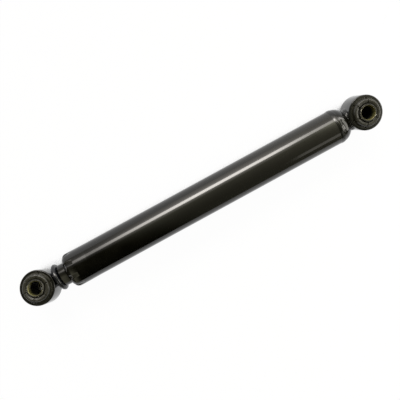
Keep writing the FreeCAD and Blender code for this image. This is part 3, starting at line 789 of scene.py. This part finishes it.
def base_eye_weld():
    """Weld from the cap to the base eye."""
    rise = base_weld_neck_r - dome_centre[1]
    neck_x = dome_centre[0] - math.sqrt(dome_arc_r**2 - rise**2)
    eye_weld(
        "base_eye_weld",
        eye_x=0.0,
        side=1,
        eye_turn=0.0,
        neck=(neck_x, base_weld_neck_r),
        toe_r=base_weld_toe_r,
        inner_r=base_weld_inner_r,
        ripples=base_weld_ripples,
        ripple_height=base_weld_ripple_height,
    )


def rod_eye_weld():
    """Weld from the rod to the rod eye."""
    eye_weld(
        "rod_eye_weld",
        eye_x=rod_eye_x,
        side=-1,
        eye_turn=rod_eye_turn,
        neck=(bumper_end_x, rod_weld_neck_r),
        toe_r=rod_weld_toe_r,
        inner_r=rod_r,
        ripples=rod_weld_ripples,
        ripple_height=rod_weld_ripple_height,
    )


def eye_ring(end, place):
    """The rolled ring of an eye."""
    ring = rounded(
        [
            (eye_half, eye_inner_r + eye_bevel, bevel_round),
            (eye_half, eye_r, eye_edge),
            (-eye_half, eye_r, eye_edge),
            (-eye_half, eye_inner_r + eye_bevel, bevel_round),
            (eye_bevel - eye_half, eye_inner_r),
            (eye_half - eye_bevel, eye_inner_r),
        ]
    )
    stands_for(turned(end + "_ring", ring, place=place), end + "_eye")


def eye_bush(end, place, first_groove):
    """The rubber bush of an eye, its faces dished, bulged and grooved."""
    plain_face = [(bush_half - depth, bush_inner_r + distance) for depth, distance in bush_dish]
    plain_face.append((bush_half, bush_crown_r))
    for i in range(1, bulge_steps + 1):
        angle = math.radians(90 * i / bulge_steps)
        x = eye_half + (bush_half - eye_half) * math.cos(angle)
        r = bush_crown_r + (bush_root_r - bush_crown_r) * math.sin(angle) ** bulge_flatness
        plain_face.append((x, r))

    def section(turn):
        aside = abs(from_nearest(turn, first_groove, groove_count))
        face = []
        for x, r in plain_face:
            cut = eased((groove_reach - aside * r) / groove_side)
            face.append((x - groove_depth * cut, r))
        face.append((eye_half - bush_film, bush_film_r))
        face.append((eye_half - eye_bevel, eye_inner_r))
        return face + [(-x, r) for x, r in reversed(face)]

    stands_for(spun(end + "_rubber", section, FINE_SEGMENTS, place), end + "_bush")


def eye_sleeve(end, place):
    """The inner sleeve of an eye, marked with the depth of its bore and with where paint reached it."""
    outline = rounded(
        [
            (-sleeve_half, sleeve_bore_r + sleeve_bevel, bevel_round),
            (sleeve_bevel - sleeve_half, sleeve_bore_r, bevel_round),
            (sleeve_half - sleeve_bevel, sleeve_bore_r, bevel_round),
            (sleeve_half, sleeve_bore_r + sleeve_bevel, bevel_round),
            (sleeve_half, sleeve_r - sleeve_bevel, bevel_round),
            (sleeve_half - sleeve_bevel, sleeve_r, bevel_round),
            (sleeve_bevel - sleeve_half, sleeve_r, bevel_round),
            (-sleeve_half, sleeve_r - sleeve_bevel, bevel_round),
        ],
        steps=4,
    )
    piece = turned(end + "_inner_sleeve", dense(outline, sleeve_step), place=place)
    depths = piece.data.attributes.new(BORE_DEPTH, "FLOAT", "POINT")
    painted = piece.data.attributes.new(OVERSPRAY, "FLOAT", "POINT")
    for vertex, depth, paint in zip(piece.data.vertices, depths.data, painted.data):
        x, y, z = place.inverted() @ vertex.co
        if math.hypot(y, z) < overspray_start_r:
            depth.value = sleeve_half - abs(x)
        else:
            paint.value = 1.0
    stands_for(piece, end + "_sleeve")


def eye(end, centre_x, turn, first_groove):
    """One mounting eye: rolled ring, rubber bush and inner sleeve."""
    place = at_eye(centre_x, turn)
    eye_ring(end, place)
    eye_bush(end, place, first_groove)
    eye_sleeve(end, place)


def gland_cap():
    """Steel cap with the neck that stands out of the rolled tube end."""
    outline = rounded(
        [
            (gland_start_x, gland_bore_r),
            (wiper_start_x, gland_bore_r),
            (wiper_start_x, wiper_pocket_r),
            (neck_end_x, wiper_pocket_r, wiper_pocket_round),
            (neck_end_x, neck_r - neck_bevel, neck_round),
            (neck_end_x - neck_bevel, neck_r, neck_round),
            (lip_x, neck_r),
            (lip_x, skirt_r, gland_corner),
            (gland_start_x, skirt_r),
        ]
    )
    stands_for(turned("gland_neck", outline), "gland_cap")


def wiper_ring():
    """Rubber wiper in the neck: a press-fit body and a thin lip on the rod."""
    outline = rounded(
        [
            (wiper_start_x, wiper_body_r),
            (wiper_middle_x, wiper_body_r, wiper_body_round),
            (wiper_end_x - wiper_edge_length, wiper_lip_r),
            (wiper_end_x, wiper_lip_r + wiper_edge_height, wiper_edge_round),
            (wiper_end_x, wiper_lip_r + wiper_lip, wiper_lip_round),
            (wiper_middle_x + wiper_lip, wiper_body_r + wiper_lip, wiper_valley_round),
            (wiper_end_x, wiper_pocket_r - wiper_rim),
            (wiper_end_x, wiper_pocket_r),
            (wiper_start_x, wiper_pocket_r),
        ],
        steps=4,
    )
    stands_for(turned("rod_wiper", outline), "wiper_ring")


def compression_bumper():
    """Rubber ring with a full-round rim and the thin flash of its mould, a little askew on the rod."""
    start_x = bumper_start_x + bumper_room
    end_x = bumper_end_x - bumper_room
    rim = (end_x - start_x) / 2
    middle = ((start_x + end_x) / 2, bumper_r - flash_height - rim)
    outline = [(start_x, bumper_bore_r + bumper_bevel), (start_x + bumper_bevel, bumper_bore_r)]
    outline += [(end_x - bumper_bevel, bumper_bore_r), (end_x, bumper_bore_r + bumper_bevel)]
    outline += arc(middle, rim, 0, 90 - flash_half_deg, steps=18)
    outline += [(middle[0], bumper_r)]
    outline += arc(middle, rim, 90 + flash_half_deg, 180, steps=18)
    centre = Matrix.Translation((middle[0], 0, 0))
    askew = centre @ Matrix.Rotation(bumper_tilt, 4, "Z") @ centre.inverted()
    stands_for(turned("bumper_ring", outline, place=askew), "compression_bumper")


def piston_rod():
    """Ground chrome rod: threaded spigot, stop groove, and an end coped to the rod eye."""
    thread_end_x = rod_tip_x + thread_length
    count = round(thread_length / thread_pitch * thread_steps)
    cut_length = thread_length - spigot_bevel
    thread = [rod_tip_x + spigot_bevel + cut_length * i / count for i in range(count + 1)]
    plain = rounded(
        [
            (rod_shoulder_x, spigot_r),
            (rod_shoulder_x, rod_r, rod_shoulder_round),
            (stop_groove[0], rod_r),
            (stop_groove[0], stop_groove_r),
            (stop_groove[1], stop_groove_r),
            (stop_groove[1], rod_r),
        ]
    )

    def section(turn):
        outline = [(rod_tip_x, 0.0), (rod_tip_x, spigot_r - spigot_bevel)]
        for x in thread:
            phase = ((x - rod_tip_x) / thread_pitch - turn / math.tau) % 1.0
            depth = thread_depth * abs(2 * phase - 1) * eased((thread_end_x - x) / thread_pitch)
            outline.append((x, spigot_r - depth))
        outline += plain
        for share in coped_shares:
            r = rod_r * share
            across = r * math.cos(turn - rod_eye_turn)
            outline.append((rod_eye_x - math.sqrt(eye_r**2 - across**2), r))
        return outline

    stands_for(spun("chrome_rod", section, ROD_SEGMENTS), "piston_rod")


def star_spring(node):
    """Star spring over a valve plate, copied from its node with a mesh of its own."""
    cad = nodes[node]
    data = cad.data.copy()
    data.materials.clear()
    piece = bpy.data.objects.new(node.replace("spring", "star_spring"), data)
    bpy.context.scene.collection.objects.link(piece)
    stands_for(piece, node)
    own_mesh(piece)


def carried_over():
    """The working parts sealed inside keep their own shape and get a finish."""
    for node in nodes.values():
        if not node.hide_render:
            node.data.materials[0] = finishes[node.data.materials[0].name]


def floor_material():
    """White to the eye and in gloss, plain grey to other light, and darkened by painted shadow where the
    part closes it in.
    """
    material = bpy.data.materials.new("floor_white")
    material.use_nodes = True
    tree = material.node_tree
    tree.nodes.clear()
    output = tree.nodes.new("ShaderNodeOutputMaterial")
    paper = tree.nodes.new("ShaderNodeBsdfDiffuse")
    paper.inputs["Color"].default_value = floor_grey
    hidden = tree.nodes.new("ShaderNodeAmbientOcclusion")
    hidden.inputs["Distance"].default_value = hollow_reach
    hidden.samples = hollow_samples
    glow = tree.nodes.new("ShaderNodeEmission")
    # Painted shadow: the floor's glow fades where the part closes the floor in
    open_sky = spread(tree, hidden.outputs["AO"], low=0.0, high=1.0, start=0.25, end=0.38)
    tree.links.new(open_sky, glow.inputs["Strength"])
    rays = tree.nodes.new("ShaderNodeLightPath")
    seen = combined(tree, "MAXIMUM", rays.outputs["Is Camera Ray"], rays.outputs["Is Glossy Ray"])
    share = spread(tree, seen, low=0.0, high=floor_glow, start=0.0, end=1.0)
    mix = tree.nodes.new("ShaderNodeMixShader")
    tree.links.new(share, mix.inputs["Fac"])
    tree.links.new(paper.outputs[0], mix.inputs[1])
    tree.links.new(glow.outputs[0], mix.inputs[2])
    tree.links.new(mix.outputs[0], output.inputs["Surface"])
    return material


def stage_floor():
    """Pale floor under the part."""
    floor_z = cad_box[0].z
    square = ((-1, -1), (1, -1), (1, 1), (-1, 1))
    corners = [(floor_half * x, floor_half * y, floor_z) for x, y in square]
    data = bpy.data.meshes.new("floor")
    data.from_pydata(corners, [], [(0, 1, 2, 3)])
    data.materials.append(floor_material())
    floor = bpy.data.objects.new("floor", data)
    bpy.context.scene.collection.objects.link(floor)


def camera_axes():
    """The camera's right, up and backward directions."""
    back = Vector((math.sin(camera_tip), -math.sin(camera_lean), math.cos(camera_lean))).normalized()
    level = Vector((-1, 0, 0))
    level = (level - back * level.dot(back)).normalized()
    right = Matrix.Rotation(-camera_roll, 3, back) @ level
    return right, back.cross(right), back


def add_camera():
    """Camera that sees the part as the photograph does."""
    right, up, back = camera_axes()
    data = bpy.data.cameras.new("camera")
    data.lens = camera_lens
    data.sensor_width = camera_sensor
    camera = bpy.data.objects.new("camera", data)
    turn = Matrix((right, up, back)).transposed().to_4x4()
    camera.matrix_world = Matrix.Translation(aim + back * camera_distance) @ turn
    bpy.context.scene.collection.objects.link(camera)
    bpy.context.scene.camera = camera


def softbox(name, direction, distance, width, length, radiance):
    """Area lamp facing the middle of the part, its length along the part."""
    data = bpy.data.lights.new(name, "AREA")
    data.shape = "RECTANGLE"
    data.size = length
    data.size_y = width
    data.energy = radiance * math.pi * width * length
    data.color = lamp_tint
    lamp = bpy.data.objects.new(name, data)
    back = direction.normalized()
    along = Vector((1, 0, 0))
    along = (along - back * along.dot(back)).normalized()
    turn = Matrix((along, back.cross(along), back)).transposed().to_4x4()
    lamp.matrix_world = Matrix.Translation(aim + back * distance) @ turn
    bpy.context.scene.collection.objects.link(lamp)


def together(tree, layers):
    """The sum of layers of light."""
    total = layers[0]
    for layer in layers[1:]:
        node = tree.nodes.new("ShaderNodeAddShader")
        tree.links.new(total, node.inputs[0])
        tree.links.new(layer, node.inputs[1])
        total = node.outputs[0]
    return total


def levels(span, tint, stops):
    """Ramp stops for a field that runs over a span, as (place, level) pairs in one tint."""
    low, high = span
    return [((place - low) / (high - low), tuple(level * c for c in tint)) for place, level in stops]


def add_room(side, back):
    """A dim room: a far glow, a pale wall and a long light towards -Y, and a glow beyond the rod eye."""
    world = bpy.data.worlds.new("room")
    bpy.context.scene.world = world
    world.use_nodes = True
    tree = world.node_tree
    tree.nodes.clear()
    output = tree.nodes.new("ShaderNodeOutputWorld")
    heading = tree.nodes.new("ShaderNodeTexCoord")
    parts = []
    for axis in (side, back, Vector((1, 0, 0))):
        dot = tree.nodes.new("ShaderNodeVectorMath")
        dot.operation = "DOT_PRODUCT"
        dot.inputs[1].default_value = axis
        tree.links.new(heading.outputs["Generated"], dot.inputs[0])
        parts.append(dot.outputs["Value"])
    angle = combined(tree, "ARCTAN2", parts[0], parts[1])
    slanted = tree.nodes.new("ShaderNodeMath")
    slanted.operation = "MULTIPLY_ADD"
    slanted.inputs[1].default_value = far_slant
    tree.links.new(angle, slanted.inputs[0])
    tree.links.new(parts[2], slanted.inputs[2])
    around = spread(tree, angle, low=0.0, high=1.0, start=-math.pi, end=math.pi)
    along = spread(tree, parts[2], low=0.0, high=1.0, start=-1.0, end=1.0)
    aslant = spread(tree, slanted.outputs[0], low=0.0, high=1.0, start=-1.0, end=1.0)

    def layer(strength, tint, turn_levels, field, end_levels):
        by_turn = ramp(tree, around, levels((-180, 180), tint, turn_levels))
        by_end = ramp(tree, field, levels((-1, 1), white, end_levels))
        light = tree.nodes.new("ShaderNodeBackground")
        light.inputs["Strength"].default_value = strength
        tree.links.new(times(tree, by_turn, by_end), light.inputs["Color"])
        return light.outputs[0]

    # Each light has levels by its angle about the part, in degrees from back towards side, and levels by
    # how far its direction points along +X
    far_turn = [
        (-120, 0.18), (-47, 0.20), (-22, 0.28), (-6, 0.42), (6, 0.55), (16, 0.76), (30, 0.9), (50, 0.0),
    ]
    far_ends = [
        (-0.9, 0.35), (-0.55, 0.35), (-0.44, 0.6), (-0.37, 1.4), (-0.33, 1.3), (-0.29, 0.36),
        (-0.24, 0.31), (-0.10, 0.33), (0.07, 0.42), (0.14, 0.1), (0.18, 0.0),
    ]
    wall_turn = [(35, 0.0), (55, 0.85), (85, 1.0)]
    wall_ends = [
        (-0.5, 0.5), (-0.25, 0.68), (-0.15, 1.0), (0.03, 1.0), (0.146, 0.6), (0.215, 0.37), (0.4, 0.12),
    ]
    key_turn = [
        (14, 0.0), (27, 0.08), (31, 0.14), (34, 1.0), (48, 1.0), (51.5, 0.16), (62, 0.05), (76, 0.0),
    ]
    key_ends = [
        (-0.9, 0.3), (-0.66, 0.4), (-0.45, 0.12), (-0.25, 0.36), (-0.18, 0.95), (0.0, 1.03),
        (0.146, 0.5), (0.205, 0.18), (0.27, 0.18), (0.34, 0.05), (0.55, 0.03), (0.8, 0.12),
    ]
    rod_turn = [(-120, 0.8), (-50, 0.9), (-20, 1.0), (0, 0.45), (11, 0.28), (30, 0.22), (60, 0.2)]
    rod_ends = [(0.268, 0.0), (0.29, 1.0), (0.36, 0.8), (0.45, 0.25), (0.9, 0.1)]
    layers = [
        layer(far_strength, warm_tint, far_turn, aslant, far_ends),
        layer(wall_strength, pale_tint, wall_turn, along, wall_ends),
        layer(key_strength, pale_tint, key_turn, along, key_ends),
        layer(rod_strength, rod_tint, rod_turn, along, rod_ends),
    ]
    backdrop = tree.nodes.new("ShaderNodeBackground")
    backdrop.inputs["Color"].default_value = (*white, 1)
    rays = tree.nodes.new("ShaderNodeLightPath")
    mix = tree.nodes.new("ShaderNodeMixShader")
    tree.links.new(rays.outputs["Is Camera Ray"], mix.inputs["Fac"])
    tree.links.new(together(tree, layers), mix.inputs[1])
    tree.links.new(backdrop.outputs[0], mix.inputs[2])
    tree.links.new(mix.outputs[0], output.inputs["Surface"])


def add_lights():
    """The room, three soft lamps beyond the base eye and one beyond the rod eye."""
    back = Vector((0, -math.sin(camera_lean), math.cos(camera_lean)))
    side = Vector((0, -math.cos(camera_lean), -math.sin(camera_lean)))
    add_room(side, back)
    low = Vector((-0.45, 0, 0)) - side * 0.79 + back * 0.42
    beyond_base = Vector((-0.90, 0.14, 0.34))
    over_base = Vector((-0.705, 0.290, 0.647))
    beyond_rod = Vector((0.70, 0.35, 0.62))
    softbox("low_softbox", low, distance=1.0, width=0.3, length=0.3, radiance=1.0)
    softbox("base_softbox", beyond_base, distance=0.9, width=0.9, length=0.30, radiance=3.4)
    softbox("face_softbox", over_base, distance=1.136, width=0.5, length=0.28, radiance=6.0)
    softbox("rod_softbox", beyond_rod, distance=0.9, width=0.25, length=0.25, radiance=1.5)


reserve_tube()
base_cap()
base_seam_weld()
base_eye_weld()
rod_eye_weld()
eye("base", 0.0, 0.0, base_groove_turn)
eye("rod", rod_eye_x, rod_eye_turn, rod_groove_turn)
gland_cap()
wiper_ring()
compression_bumper()
piston_rod()
star_spring("intake_spring")
star_spring("check_spring")
carried_over()
stage_floor()
add_camera()
add_lights()
bpy.context.scene.view_settings.view_transform = "Standard"
